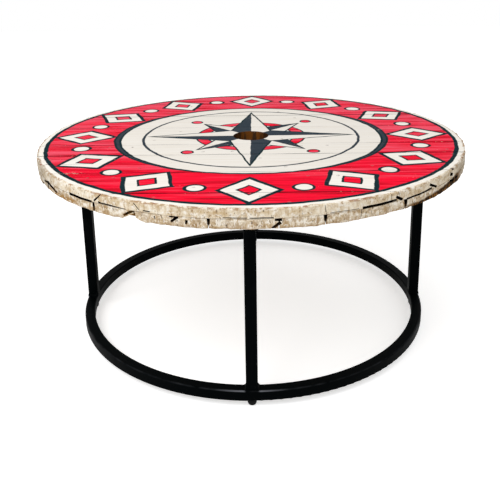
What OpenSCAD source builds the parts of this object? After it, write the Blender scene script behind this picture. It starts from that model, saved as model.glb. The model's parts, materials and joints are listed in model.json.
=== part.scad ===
// Coffee table made from the flange of a wooden cable reel, on a welded square-tube base.
// Millimetres. Z is up and 0 is the floor, the origin is on the arbor hole's axis,
// the upper boards run along X, and -Y is the front of the table.

/* [Flange] */
// Diameter of the reel flange
flange_d = 914; // [830:1:1100]
// Height of the painted surface above the floor
table_h = 417; // [350:1:520]
// Thickness of one layer of boards
board_t = 19; // [16:0.5:28]
// Radius worn onto the rim's outer edges
rim_round = 3; // [1:0.5:6]
// Diameter of the arbor hole
arbor_d = 76.2; // [50:0.1:82]

/* [Boards] */
// Nominal width of a narrow board, before the layer is trimmed to fill the flange
narrow_w = 77; // [70:1:90]
// Nominal width of a medium board
medium_w = 115; // [106:1:120]
// Nominal width of a broad board
broad_w = 127; // [121:1:135]
// Nominal width of a wide board
wide_w = 144; // [136:1:150]
// Gap between two boards of the upper layer
upper_gap = 1.5; // [0.5:0.1:4]
// Gap between two boards of the lower layer
lower_gap = 4; // [1:0.1:8]

/* [Damage] */
// Width of the corner lost from a lower board's end
break_w = 38; // [10:1:44]
// Height of that corner
break_h = 17; // [6:0.5:18]
// How far the break runs in from the rim
break_l = 24; // [8:1:40]
// Depth of the rot along the rim's lower edge
rot_h = 8; // [3:0.5:12]
// How far the rot reaches in from the rim
rot_w = 16; // [8:1:20]
// Width of the drying split, at the rim
split_w = 2.4; // [1:0.1:4]
// Length of the drying split
split_l = 105; // [40:1:150]

/* [Nails] */
// Diameter of a nail's shank
nail_d = 3.4; // [2.6:0.1:4.5]
// Diameter of a nail's head
nail_head_d = 7; // [6:0.1:10]
// Thickness of a nail's head
nail_head_t = 1.2; // [0.8:0.1:2]
// Depth of a head's top below the painted surface
nail_set = 0.3; // [0.1:0.1:1]
// Length of the tip that is clinched under the flange
nail_tip_l = 12; // [6:0.5:18]
// Thickness of that tip, hammered flat
nail_tip_t = 1.6; // [1:0.1:2.4]
// Least distance from a nail's axis to a board's edge
nail_margin = 12; // [9:1:15]
// Distance of the outermost nails from the rim
nail_edge = 24; // [19:1:35]

/* [Steel base] */
// Distance of both rings' outer faces from the rim
ring_inset = 70; // [40:1:90]
// Width of the square tube
tube_w = 22; // [16:0.5:25]
// Wall of the square tube
tube_wall = 1.5; // [1:0.1:2.5]
// Outer corner radius of the square tube
tube_corner = 2.6; // [2:0.1:4]
// Diameter of the vent holes between the legs and the rings
vent_d = 8; // [4:0.5:9]

/* [Feet] */
// Height of a domed foot below the ring
foot_h = 12; // [5:0.5:14]
// Height of the straight edge round a foot's top
foot_lip = 3; // [1:0.5:4]
// Diameter of a foot where it meets the ring
foot_d = 18; // [12:0.5:18]
// Diameter of the flat that a foot stands on
foot_flat_d = 10; // [6:0.5:10]
// Diameter of a foot's stem
foot_stem_d = 6; // [4:0.5:8]
// Length of a foot's stem, into the ring
foot_stem_l = 9; // [4:0.5:12]

/* [Mounting tabs] */
// Width of a tab, across its two screws
tab_w = 64; // [54:1:80]
// Reach of a tab in from the ring
tab_l = 30; // [24:1:36]
// Thickness of a tab
tab_t = 4; // [3.5:0.5:6]
// Distance between a tab's two screws
screw_pitch = 36; // [30:1:42]
// Diameter of a screw's shank
screw_d = 4.5; // [3.5:0.1:5.5]
// Length of a screw under its head
screw_l = 18; // [12:0.5:19]
// Diameter of a screw's head
screw_head_d = 9; // [8:0.1:11]
// Height of a screw's head
screw_head_h = 3; // [2:0.1:4]

/* [Hidden] */
// Clearance round a driven nail or screw, and round a foot's stem
drive_gap = 0.05;
// Clearance round a screw in its tab
tab_gap = 0.4;
// Clearance between a tab's end and the ring, under the weld
weld_gap = 0.3;
// Overrun of a cutting shape past the face that it cuts
over = 1;
// Segments of a circle as wide as the table
wide_fn = 360;
$fn = 64;

paint_red = [0.78, 0.10, 0.15];
bare_wood = [0.84, 0.79, 0.68];
rusty_iron = [0.35, 0.24, 0.17];
black_steel = [0.05, 0.06, 0.07];
bare_zinc = [0.45, 0.45, 0.46];

flange_r = flange_d / 2;
arbor_r = arbor_d / 2;
ring_r = flange_r - ring_inset;
ring_in_r = ring_r - tube_w;
leg_r = ring_r - tube_w / 2;
upper_z = table_h - board_t;
lower_z = upper_z - board_t;
upper_ring_z = lower_z - tube_w;
leg_z = foot_h + tube_w;
tab_z = lower_z - tab_t;
head_z = table_h - nail_set - nail_head_t;

// The boards of each layer, from the front to the back and from the left to the right
upper_widths = [narrow_w, medium_w, medium_w, narrow_w, wide_w, medium_w, wide_w, medium_w];
lower_widths = [narrow_w, medium_w, narrow_w, broad_w, medium_w, narrow_w, wide_w, medium_w, narrow_w];
// Upper boards with a drying split, counted from 0 at the front
split_boards = [2];
// Corners lost from lower boards: the seam on their right, counted from the left rim, and the share of break_w
lost_corners = [[3, 1], [5, 0.35]];
// The rotten stretches of the lower rim, as angle about the axis and length
rotten_places = [[-147, 70], [-38, 90]];

// Board edges of a layer, whose boards share out the flange's width
function sum(widths, n) = n == 0 ? 0 : widths[n - 1] + sum(widths, n - 1);
function edges(widths) = [for (n = [0 : len(widths)])
                          flange_d * sum(widths, n) / sum(widths, len(widths)) - flange_r];
upper_edges = edges(upper_widths);
lower_edges = edges(lower_widths);

UPPER = [for (i = [1 : len(upper_widths)]) str("upper_board_", i)];
LOWER = [for (i = [1 : len(lower_widths)]) str("lower_board_", i)];
SIDES = ["right", "back", "left", "front"];

// Two screws for each of the four tabs
function turned(p, angle) = [p[0] * cos(angle) - p[1] * sin(angle), p[0] * sin(angle) + p[1] * cos(angle)];
screws = [for (side = [0 : 3]) for (across = [-1, 1])
          turned([ring_in_r - tab_l / 2, across * screw_pitch / 2], side * 90)];

// One nail where an upper board crosses a lower one, at alternate corners of the crossing
function middle(edges, i) = (edges[i] + edges[i + 1]) / 2;
function quarter(edges, i) = (edges[i + 1] - edges[i]) / 4;
function corner(i, j) = (i + j) % 2 == 0 ? 1 : -1;
function crossing(i, j) = [middle(lower_edges, j) + quarter(lower_edges, j) * corner(i, j),
                           middle(upper_edges, i) + quarter(upper_edges, i) * corner(i, floor(j * 1.5))];
function off_rim(p) = p * min(1, (flange_r - nail_edge) / norm(p));
function between(x, edges, i, margin) = x > edges[i] + margin && x < edges[i + 1] - margin;
function from_screws(p) = min([for (s = screws) norm(p - s)]);
nails = [for (i = [0 : len(UPPER) - 1]) for (j = [0 : len(LOWER) - 1])
         let (p = off_rim(crossing(i, j)))
         if (between(p[0], lower_edges, j, nail_margin) && between(p[1], upper_edges, i, nail_margin)
             && norm(p) > arbor_r + nail_margin + nail_tip_l
             && from_screws(p) > nail_tip_l + screw_head_d) p];

// A nail over the steel base is cut flush, and has no clinched tip
function clinched(p) = norm(p) > ring_r + nail_tip_l || norm(p) < ring_in_r - tab_l - nail_tip_l;

// Round disc of one layer, worn round along its top edge
module worn_disc() {
    rotate_extrude($fn = wide_fn) polygon(concat(
        [[0, 0], [flange_r, 0]],
        [for (a = [0 : 30 : 90]) [flange_r - rim_round * (1 - cos(a)), board_t - rim_round * (1 - sin(a))]],
        [[0, board_t]]));
}

// Block along X that holds one board, less half a gap at each seam
module board_span(edges, i, gap) {
    low = i == 0 ? edges[0] - over : edges[i] + gap / 2;
    high = i == len(edges) - 2 ? edges[i + 1] + over : edges[i + 1] - gap / 2;
    translate([-flange_r - over, low, lower_z - over])
        cube([flange_d + 2 * over, high - low, 2 * board_t + 2 * over]);
}

function meets_arbor(edges, i) = edges[i] < arbor_r && edges[i + 1] > -arbor_r;

module through_hole(d) {
    translate([0, 0, lower_z - over]) cylinder(h = 2 * board_t + 2 * over, d = d);
}

// Hole that a nail has driven, with the dent that its head sits in
module nail_hole() {
    through_hole(nail_d + 2 * drive_gap);
    translate([0, 0, head_z]) cylinder(h = nail_head_t + nail_set + over, d = nail_head_d + 2 * drive_gap);
}

// Split that opens towards the left rim, in the middle of an upper board
module drying_split(y) {
    rim_x = -sqrt(pow(flange_r, 2) - pow(y, 2));
    translate([0, y, upper_z - over]) linear_extrude(height = board_t + 2 * over)
        polygon([[rim_x - over, -split_w / 2], [rim_x + split_l, 0], [rim_x - over, split_w / 2]]);
}

module upper_board(i) {
    color(paint_red) difference() {
        intersection() {
            translate([0, 0, upper_z]) worn_disc();
            board_span(upper_edges, i, upper_gap);
        }
        if (meets_arbor(upper_edges, i)) through_hole(arbor_d);
        for (split = split_boards) if (i == split) drying_split(middle(upper_edges, i));
        for (p = nails) if (between(p[1], upper_edges, i, 0)) translate(p) nail_hole();
    }
}

// Corner lost from the front end of a lower board, beside its right seam
module lost_corner(seam_x, w) {
    rim_y = -sqrt(pow(flange_r, 2) - pow(seam_x, 2));
    translate([seam_x - lower_gap / 2, rim_y + break_l, lower_z])
        rotate([90, 0, 0]) linear_extrude(height = 2 * break_l)
            polygon([[over, -over], [-w, -over], [-w, 0], [0, break_h], [over, break_h]]);
}

// Rotten chamfer under the rim
module rotten_edge(angle, length) {
    rotate([0, 0, angle]) translate([flange_r, 0, lower_z])
        rotate([90, 0, 0]) linear_extrude(height = length, center = true)
            polygon([[over, -over], [over, rot_h], [0, rot_h], [-rot_w, 0], [-rot_w, -over]]);
}

module screw_pilot() {
    translate([0, 0, lower_z - over])
        cylinder(h = screw_l - tab_t + drive_gap + over, d = screw_d + 2 * drive_gap);
}

module lower_board(j) {
    color(bare_wood) difference() {
        intersection() {
            translate([0, 0, upper_z]) mirror([0, 0, 1]) worn_disc();
            mirror([1, -1, 0]) board_span(lower_edges, j, lower_gap);
        }
        if (meets_arbor(lower_edges, j)) through_hole(arbor_d);
        for (lost = lost_corners) if (j == lost[0] - 1) lost_corner(lower_edges[lost[0]], break_w * lost[1]);
        for (place = rotten_places) rotten_edge(place[0], place[1]);
        for (p = nails) if (between(p[0], lower_edges, j, 0)) translate(p) nail_hole();
        for (s = screws) if (between(s[0], lower_edges, j, 0)) translate(s) screw_pilot();
    }
}

// Nails through both layers, with their tips bent over along the lower boards
module clinched_nails() {
    color(rusty_iron) for (p = nails) translate(p) {
        end_z = lower_z - (clinched(p) ? nail_tip_t : 0);
        translate([0, 0, end_z]) cylinder(h = head_z - end_z, d = nail_d);
        translate([0, 0, head_z]) cylinder(h = nail_head_t, d = nail_head_d);
        if (clinched(p)) translate([-nail_d / 2, 0, end_z]) cube([nail_d, nail_tip_l, nail_tip_t]);
    }
}

module rounded_square(w, r) {
    square([w - 2 * r, w], center = true);
    square([w, w - 2 * r], center = true);
    for (x = [-1, 1]) for (y = [-1, 1]) translate([x, y] * (w / 2 - r)) circle(r);
}

module tube_section() {
    difference() {
        rounded_square(tube_w, tube_corner);
        rounded_square(tube_w - 2 * tube_wall, max(tube_corner - tube_wall, 0.5));
    }
}

module at_leg(side) {
    rotate([0, 0, side * 90]) translate([leg_r, 0, 0]) children();
}

// Rolled ring of square tube that stands on z, with a vent hole through one wall under each leg
module tube_ring(z, vented_z) {
    difference() {
        translate([0, 0, z + tube_w / 2]) rotate_extrude($fn = wide_fn) translate([leg_r, 0]) tube_section();
        for (side = [0 : 3]) at_leg(side) translate([0, 0, vented_z - tube_wall - over])
            cylinder(h = 2 * (tube_wall + over), d = vent_d);
    }
}

module floor_ring() {
    color(black_steel) difference() {
        tube_ring(foot_h, leg_z);
        for (side = [0 : 3]) at_leg(side) translate([0, 0, foot_h - over])
            cylinder(h = tube_wall + 2 * over, d = foot_stem_d + 2 * drive_gap);
    }
}

module upper_ring() {
    color(black_steel) tube_ring(upper_ring_z, upper_ring_z);
}

module leg(side) {
    color(black_steel) at_leg(side) translate([0, 0, leg_z])
        linear_extrude(height = upper_ring_z - leg_z) tube_section();
}

// Domed glide with a stem that is pushed into the ring
module foot(side) {
    bulge_r = (foot_d - foot_flat_d) / 2;
    bulge_h = foot_h - foot_lip;
    color(black_steel) at_leg(side) {
        rotate_extrude() polygon(concat(
            [[0, 0]],
            [for (a = [0 : 15 : 90]) [foot_flat_d / 2 + bulge_r * sin(a), bulge_h * (1 - cos(a))]],
            [[foot_d / 2, foot_h], [0, foot_h]]));
        cylinder(h = foot_h + foot_stem_l, d = foot_stem_d);
    }
}

// Plate welded inside the upper ring, flush with its top, that two screws hold to the flange
module mounting_tab(side) {
    color(black_steel) rotate([0, 0, side * 90]) difference() {
        intersection() {
            translate([ring_in_r - tab_l, -tab_w / 2, tab_z]) cube([tab_l + over, tab_w, tab_t]);
            translate([0, 0, tab_z]) cylinder(h = tab_t, r = ring_in_r - weld_gap, $fn = wide_fn);
        }
        for (across = [-1, 1]) translate([ring_in_r - tab_l / 2, across * screw_pitch / 2, tab_z - over])
            cylinder(h = tab_t + 2 * over, d = screw_d + 2 * tab_gap);
    }
}

module tab_screws() {
    color(bare_zinc) for (s = screws) translate([s[0], s[1], tab_z]) {
        cylinder(h = screw_l, d = screw_d);
        translate([0, 0, -screw_head_h]) cylinder(h = screw_head_h, d = screw_head_d);
    }
}

for (i = [0 : len(UPPER) - 1]) upper_board(i);
for (j = [0 : len(LOWER) - 1]) lower_board(j);
clinched_nails();
floor_ring();
upper_ring();
for (side = [0 : 3]) leg(side);
for (side = [0 : 3]) foot(side);
for (side = [0 : 3]) mounting_tab(side);
tab_screws();
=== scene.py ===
# %% [markdown]
# This lesson dresses a coffee table: the flange of a wooden cable reel, two crossed layers of
# boards nailed together, on a base of welded square tube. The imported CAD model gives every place
# and size, and this script gives the wear, the paint and the finishes around it.

import json
from math import asin, atan2, cos, degrees, hypot, pi, radians, sin
from random import Random

import bpy
from mathutils import Matrix, Vector


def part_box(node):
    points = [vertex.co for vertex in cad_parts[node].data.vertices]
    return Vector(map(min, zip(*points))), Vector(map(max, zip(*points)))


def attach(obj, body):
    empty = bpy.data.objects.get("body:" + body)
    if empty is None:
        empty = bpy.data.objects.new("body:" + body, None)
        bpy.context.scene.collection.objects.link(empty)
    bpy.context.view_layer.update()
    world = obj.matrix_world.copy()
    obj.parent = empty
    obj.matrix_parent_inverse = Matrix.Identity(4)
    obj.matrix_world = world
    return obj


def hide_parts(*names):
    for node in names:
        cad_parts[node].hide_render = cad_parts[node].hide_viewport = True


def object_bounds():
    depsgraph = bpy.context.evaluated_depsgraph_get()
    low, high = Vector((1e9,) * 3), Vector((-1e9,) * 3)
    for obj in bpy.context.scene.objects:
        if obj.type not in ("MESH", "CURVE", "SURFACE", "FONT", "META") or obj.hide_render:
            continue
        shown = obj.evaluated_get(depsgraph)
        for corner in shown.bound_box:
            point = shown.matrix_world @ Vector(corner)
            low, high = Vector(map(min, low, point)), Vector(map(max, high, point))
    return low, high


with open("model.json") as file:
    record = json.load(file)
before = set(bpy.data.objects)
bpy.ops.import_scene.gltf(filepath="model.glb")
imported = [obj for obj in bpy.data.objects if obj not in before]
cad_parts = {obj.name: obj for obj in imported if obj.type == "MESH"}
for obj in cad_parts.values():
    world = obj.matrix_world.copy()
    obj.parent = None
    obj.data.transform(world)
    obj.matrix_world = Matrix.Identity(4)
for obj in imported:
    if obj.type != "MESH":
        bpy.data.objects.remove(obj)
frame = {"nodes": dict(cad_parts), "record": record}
cad_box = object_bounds()
print("nodes:", len(frame["nodes"]), "box:", [[round(v, 3) for v in corner] for corner in cad_box])

# %% [markdown]
# The photograph was taken from a little above the table, standing in front of it. A camera is
# placed by turning it in three steps: round the upright axis, then down towards the floor, then a
# touch of roll. Its lens is shifted down, as photographers do to keep upright edges upright. The
# numbers come from fitting the table's rim, rings and legs to the photograph.

# %% Place the camera
MM = 0.001
CAMERA_PLACE = (0.01702, -1.49986, 0.81082)
CAMERA_YAW = -0.01286
CAMERA_PITCH = 0.27666
CAMERA_ROLL = -0.01426
CAMERA_LENS = 50.404
CAMERA_SHIFT = -0.20143

bpy.ops.object.camera_add(location=CAMERA_PLACE)
camera = bpy.context.active_object
turn = (Matrix.Rotation(-CAMERA_YAW, 3, "Z") @ Matrix.Rotation(pi / 2 - CAMERA_PITCH, 3, "X")
        @ Matrix.Rotation(CAMERA_ROLL, 3, "Z"))
camera.rotation_euler = turn.to_euler()
camera.data.lens = CAMERA_LENS
camera.data.shift_y = CAMERA_SHIFT
bpy.context.scene.camera = camera
bpy.context.scene.view_settings.view_transform = "Standard"
print("camera looks down", round(degrees(CAMERA_PITCH), 1), "degrees")

# %% [markdown]
# Shader maths is easier to read as ordinary sums. A Wire is one value inside a finish, and each
# operator on it adds the Math node that does the same. A Finish is one material being made: its
# add method makes any node, with its settings first and the values or wires of its sockets after.

# %% Sums that turn into shader nodes
class Wire:
    """A value in a finish; sums on it become Math nodes."""

    def __init__(self, finish, socket):
        self.finish = finish
        self.socket = socket

    def math(self, operation, *values, clamp=False):
        settings = {"operation": operation, "use_clamp": clamp}
        return self.finish.add("ShaderNodeMath", settings, dict(enumerate(values)))

    def __add__(self, other):
        return self.math("ADD", self, other)

    def __sub__(self, other):
        return self.math("SUBTRACT", self, other)

    def __mul__(self, other):
        return self.math("MULTIPLY", self, other)

    def __truediv__(self, other):
        return self.math("DIVIDE", self, other)

    def __radd__(self, other):
        return self.math("ADD", other, self)

    def __rsub__(self, other):
        return self.math("SUBTRACT", other, self)

    def __pow__(self, other):
        return self.math("POWER", self, other)

    def __abs__(self):
        return self.math("ABSOLUTE", self)

    def low(self, other):
        return self.math("MINIMUM", self, other)

    def clamped(self):
        return self.math("ADD", self, 0.0, clamp=True)

    def past(self, edge, soft=1.0):
        """0 below the edge and 1 above it, with a ramp as wide as soft."""
        return self.math("MULTIPLY_ADD", self - edge, 1.0 / soft, 0.5, clamp=True)

    def below(self, edge, soft=1.0):
        """1 below the edge and 0 above it."""
        return 1 - self.past(edge, soft)

    def inside(self, first, last, soft=1.0):
        return self.past(first, soft) * self.below(last, soft)

# %% A finish and its nodes
class Finish:
    """A material under construction, with Object coordinates in millimetres as its place."""

    def __init__(self, name):
        self.material = bpy.data.materials.new(name)
        self.material.use_nodes = True
        self.tree = self.material.node_tree
        self.tree.nodes.clear()
        coordinates = self.add("ShaderNodeTexCoord", {}, {}, "Object")
        self.place = self.stretch(coordinates, (1 / MM, 1 / MM, 1 / MM))
        self.x, self.y, self.z = (self.add("ShaderNodeSeparateXYZ", {}, {0: self.place}, axis)
                                  for axis in "XYZ")

    def add(self, kind, settings, sockets, output=0):
        node = self.tree.nodes.new(kind)
        for setting, value in settings.items():
            setattr(node, setting, value)
        for name, value in sockets.items():
            if isinstance(value, Wire):
                self.tree.links.new(value.socket, node.inputs[name])
            else:
                node.inputs[name].default_value = value
        return Wire(self, node.outputs[output]) if len(node.outputs) else node

    def stretch(self, vector, factors):
        return self.add("ShaderNodeVectorMath", {"operation": "MULTIPLY"}, {0: vector, 1: factors})

    def noise(self, size, detail=2.0, roughness=0.5, shift=0.0):
        """Cloudy noise from 0 to 1 whose lumps are about size millimetres, one size or three."""
        sizes = size if isinstance(size, tuple) else (size, size, size)
        moved = self.add("ShaderNodeVectorMath", {"operation": "ADD"},
                         {0: self.place, 1: (shift, 0.7 * shift, 0.4 * shift)})
        scaled = self.stretch(moved, tuple(1 / s for s in sizes))
        sockets = {"Vector": scaled, "Scale": 1.0, "Detail": detail, "Roughness": roughness}
        return self.add("ShaderNodeTexNoise", {}, sockets)

    def mix(self, factor, first, second, blend="MIX"):
        return self.add("ShaderNodeMix", {"data_type": "RGBA", "blend_type": blend},
                        {0: factor, 6: first, 7: second}, 2)

    def layers(self, colour, *coats):
        """A colour with coats laid over it in turn, each a mask and the coat's own colour."""
        for mask, coat in coats:
            colour = self.mix(mask, colour, coat)
        return colour

    def shade(self, colour, factor):
        """A colour made darker or lighter by a number."""
        return self.mix(1.0, colour, (factor, factor, factor, 1), "MULTIPLY")

    def surface(self, colour, roughness, height, depth, gloss=0.5, metallic=0.0):
        """Ends a finish: depth is the bump's height in millimetres."""
        bump = self.add("ShaderNodeBump", {}, {"Distance": depth * MM, "Height": height})
        sockets = {"Base Color": colour, "Roughness": roughness, "Normal": bump,
                   "Specular IOR Level": gloss, "Metallic": metallic}
        shader = self.add("ShaderNodeBsdfPrincipled", {}, sockets)
        self.add("ShaderNodeOutputMaterial", {}, {"Surface": shader})
        print("finish", self.material.name, "has", len(self.tree.nodes), "nodes")
        return self.material

# %% Colours as on a screen
def paint(red, green, blue):
    """A colour written as on a screen, 0 to 255, turned into the light values that Blender mixes."""
    parts = [value / 255 for value in (red, green, blue)]
    linear = [p / 12.92 if p <= 0.04045 else ((p + 0.055) / 1.055) ** 2.4 for p in parts]
    return (*linear, 1.0)


print("half grey as light:", round(paint(128, 128, 128)[0], 3))

# %% [markdown]
# The picture has a white background and soft light. The white world lights the table evenly, one
# large lamp from the front left gives the boards their shape, and rays that come straight from
# the camera or from a glossy surface see plain white. The floor does the same, but keeps the shadow.

# %% Light the scene
SKY_LEVEL = 0.75
LAMP_POWER = 41.0
LAMP_SIZE = 1.8
LAMP_PLACE = Vector((-1.3, -1.7, 2.6))
LAMP_TARGET = Vector((0, 0, 0.4))
WHITE = (1, 1, 1, 1)


class Surroundings(Finish):
    """The world takes nodes as a material does."""

    def __init__(self, tree):
        self.tree = tree


def plain_white_rays(finish):
    """1 for rays that show the background: from the camera, and off gloss or through glass."""
    rays = [finish.add("ShaderNodeLightPath", {}, {}, name)
            for name in ("Is Camera Ray", "Is Glossy Ray", "Is Transmission Ray")]
    return (rays[0] + rays[1] + rays[2]).clamped()


world = bpy.data.worlds.new("studio")
bpy.context.scene.world = world
world.use_nodes = True
world.node_tree.nodes.clear()
sky = Surroundings(world.node_tree)
plain = plain_white_rays(sky)
level = plain + (1 - plain) * SKY_LEVEL
background = sky.add("ShaderNodeBackground", {}, {"Color": WHITE, "Strength": level})
sky.add("ShaderNodeOutputWorld", {}, {"Surface": background})

bpy.ops.object.light_add(type="AREA", location=LAMP_PLACE)
lamp = bpy.context.active_object
lamp.data.energy = LAMP_POWER
lamp.data.size = LAMP_SIZE
lamp.rotation_euler = (LAMP_TARGET - LAMP_PLACE).to_track_quat("-Z", "Y").to_euler()
print("lamp", LAMP_POWER, "W over a sky of", SKY_LEVEL)

# %% Lay the floor
FLOOR_SIZE = 12.0
FLOOR_GLOW = 0.56
FLOOR_COLOUR = paint(232, 232, 232)

bpy.ops.mesh.primitive_plane_add(size=FLOOR_SIZE, location=(0, 0, 0))
floor = bpy.context.active_object
floor.name = "floor"
paper = Finish("floor_paper")
level = plain_white_rays(paper) * FLOOR_GLOW
glow = paper.add("ShaderNodeEmission", {}, {"Color": WHITE, "Strength": level})
matt = paper.add("ShaderNodeBsdfDiffuse", {}, {"Color": FLOOR_COLOUR})
both = paper.add("ShaderNodeAddShader", {}, {0: glow, 1: matt})
paper.add("ShaderNodeOutputMaterial", {}, {"Surface": both})
floor.data.materials.append(paper.material)
print("floor of", FLOOR_SIZE, "m")

# %% [markdown]
# Edit mode works on what is selected, so a maker picks points, edges or faces by where they are.
# These helpers stand for the mouse. Some make a piece, hold it, or pick parts of it by a test, and
# others weigh its points, or add a modifier and apply it at once.

# %% Make, hold and pick
TINY = 0.00002


def hold(piece):
    """Makes this the one selected and active object."""
    if bpy.context.mode != "OBJECT":
        bpy.ops.object.mode_set(mode="OBJECT")
    bpy.ops.object.select_all(action="DESELECT")
    piece.select_set(True)
    bpy.context.view_layer.objects.active = piece


def settled(name):
    """Gives the active piece its name, and puts its place, turn and size into its mesh."""
    piece = bpy.context.active_object
    piece.name = name
    bpy.ops.object.transform_apply(location=True, rotation=True, scale=True)
    return piece


def cylinder(name, place, radius, low, high, points):
    bpy.ops.mesh.primitive_cylinder_add(vertices=points, radius=radius, depth=high - low,
                                        location=(*place, (low + high) / 2))
    return settled(name)


def pick(piece, kind, test):
    """Opens a piece in edit mode with the points, edges or faces selected that pass a test."""
    hold(piece)
    mesh = piece.data
    for parts in (mesh.vertices, mesh.edges, mesh.polygons):
        parts.foreach_set("select", [False] * len(parts))
    if kind == "VERT":
        for vertex in mesh.vertices:
            vertex.select = test(vertex.co)
    elif kind == "EDGE":
        for edge in mesh.edges:
            first, last = (mesh.vertices[i].co for i in edge.vertices)
            edge.select = test((first + last) / 2, last - first)
    else:
        for face in mesh.polygons:
            face.select = test(face.center, face.normal)
    bpy.context.tool_settings.mesh_select_mode = (kind == "VERT", kind == "EDGE", kind == "FACE")
    bpy.ops.object.mode_set(mode="EDIT")


def done():
    bpy.ops.object.mode_set(mode="OBJECT")

# %% Weigh points and apply modifiers
def weigh(piece, name, weight):
    """Gives every point its weight in a vertex group."""
    group = piece.vertex_groups.get(name) or piece.vertex_groups.new(name=name)
    for vertex in piece.data.vertices:
        share = float(weight(vertex.co))
        if share > 0:
            group.add([vertex.index], share, "REPLACE")


def modify(piece, kind, **settings):
    """Adds a modifier, sets it and applies it."""
    hold(piece)
    modifier = piece.modifiers.new(kind.lower(), kind)
    for setting, value in settings.items():
        setattr(modifier, setting, value)
    bpy.ops.object.modifier_apply(modifier=modifier.name)


def clouds(name, size, contrast=1.0, depth=2, hard=False):
    """A cloud texture for the Displace modifier, size in millimetres."""
    texture = bpy.data.textures.new(name, "CLOUDS")
    texture.noise_scale = size * MM
    texture.noise_depth = depth
    texture.contrast = contrast
    texture.use_clamp = True
    texture.noise_type = "HARD_NOISE" if hard else "SOFT_NOISE"
    return texture


def displace(piece, texture, strength, direction, group, mid_level=1):
    modify(piece, "DISPLACE", texture=texture, strength=strength, mid_level=mid_level,
           direction=direction, vertex_group=group, texture_coords="LOCAL")


# %% [markdown]
# Each layer of boards starts as one whole disc, so that the rim runs on from board to board. The
# disc is a cylinder whose outer edge is bevelled, whose side is cut into rows and whose faces are
# inset near the rim. Displace then eats into the rim. It would push points along their normals,
# which cross each other at a sharp edge, so the points are given custom normals that all aim
# straight out from the axis. A last Displace lets chips fall off the worn edge, up or down.

# %% Make the two worn discs
RIM_POINTS = 1440
RIM_ROWS = 7
RIM_WEAR = 3.0 * MM
SEAM_WEAR = 0.35 * MM
RIM_FADE = 18.0 * MM
EDGE_FADE = 9.0 * MM
CAP_STEPS = (2.0 * MM, 3.0 * MM, 4.0 * MM, 8.0 * MM)
NEAR_AXIS = 20.0 * MM
HOLLOW_DEPTH = 1.8 * MM
CHIP_DEPTH = 0.8 * MM
SPLINTER_DEPTH = 0.25 * MM
CRUMBS_ABOVE = 1.4 * MM
CRUMBS_BELOW = 1.6 * MM

rim_radius = cad_box[1][0]
ply_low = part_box("lower_board_5")[0].z
ply_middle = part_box("upper_board_5")[0].z
ply_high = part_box("upper_board_5")[1].z

hollows = clouds("rim_hollows", 34, contrast=1.6)
chips = clouds("rim_chips", 14, contrast=2.2, hard=True)
splinters = clouds("rim_splinters", 4.5, contrast=1.4, depth=1)
crumbs = clouds("edge_crumbs", 16, contrast=3.0, depth=3)


def aim_outwards(piece):
    """Gives each point a custom normal straight out from the axis."""
    aims = [Vector((v.co.x, v.co.y, 0)).normalized() for v in piece.data.vertices]
    piece.data.normals_split_custom_set_from_vertices(aims)


def inward(distance):
    """A weight that is 1 at the rim and 0 at a distance in from it."""
    return lambda co: min(1, max(0, 1 - (rim_radius - co.xy.length - RIM_WEAR) / distance))


def worn_disc(name, low, high, outer):
    """One layer as a disc; outer is the height of its open face."""
    disc = cylinder(name, (0, 0), rim_radius, low, high, RIM_POINTS)
    inner = low + high - outer
    for edge_z, wear, segments in ((outer, RIM_WEAR, 4), (inner, SEAM_WEAR, 2)):
        pick(disc, "EDGE", lambda middle, along: abs(middle.z - edge_z) < TINY and abs(along.z) < TINY)
        bpy.ops.mesh.bevel(offset=wear, segments=segments, affect="EDGES")
    half = (high - low) / 2
    pick(disc, "EDGE", lambda middle, along: abs(along.z) > half)
    bpy.ops.mesh.subdivide(number_cuts=RIM_ROWS)
    for step in CAP_STEPS:
        pick(disc, "FACE", lambda middle, normal: abs(normal.z) > 0.99 and middle.xy.length < NEAR_AXIS)
        bpy.ops.mesh.inset(thickness=step)
    done()
    weigh(disc, "rim", inward(RIM_FADE))
    weigh(disc, "edge", inward(EDGE_FADE))
    weigh(disc, "crumbling", lambda co: inward(EDGE_FADE)(co) * max(0, 1 - abs(co.z - outer) / half))
    for texture, depth, group in ((hollows, HOLLOW_DEPTH, "rim"), (chips, CHIP_DEPTH, "edge"),
                                  (splinters, SPLINTER_DEPTH, "edge")):
        aim_outwards(disc)
        displace(disc, texture, depth, "CUSTOM_NORMAL", group)
    hold(disc)
    bpy.ops.mesh.customdata_custom_splitnormals_clear()
    displace(disc, crumbs, CRUMBS_ABOVE if outer == high else -CRUMBS_BELOW, "Z", "crumbling")
    print(name, "has", len(disc.data.polygons), "faces")
    return disc


upper_disc = worn_disc("upper_disc", ply_middle, ply_high, ply_high)
lower_disc = worn_disc("lower_disc", ply_low, ply_middle, ply_low)

# %% [markdown]
# Nail dents, the arbor hole and the damage are taken out of the boards by cutters, as a router
# or a break would take them. The nails' places are read from the CAD nails' heads. A break is cut
# with a block that is narrowed, subdivided and shaken a little, so that its faces look torn.

# %% Find the arbor hole and the nails
HEAD_BAND = 0.2 * MM
HEAD_REACH = 8 * MM

arbor = next(m for m in frame["record"]["mounts"] if m["name"] == "arbor_hole")
arbor_radius = arbor["dims"]["r_mm"] * MM


def nail_places():
    """The middle of each nail head, from the points on its top."""
    heads = []
    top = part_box("clinched_nails")[1].z
    for vertex in frame["nodes"]["clinched_nails"].data.vertices:
        if vertex.co.z > top - HEAD_BAND:
            near = [head for head in heads if (head[0] - vertex.co.xy).length < HEAD_REACH]
            if near:
                near[0].append(vertex.co.xy.copy())
            else:
                heads.append([vertex.co.xy.copy()])
    return [tuple((min(places) + max(places)) / 2 for places in zip(*head)) for head in heads]


nails = nail_places()
print(len(nails), "nails; arbor radius", arbor_radius)

# %% Make a torn cutter
CRACK_POINT = 0.8


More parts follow.
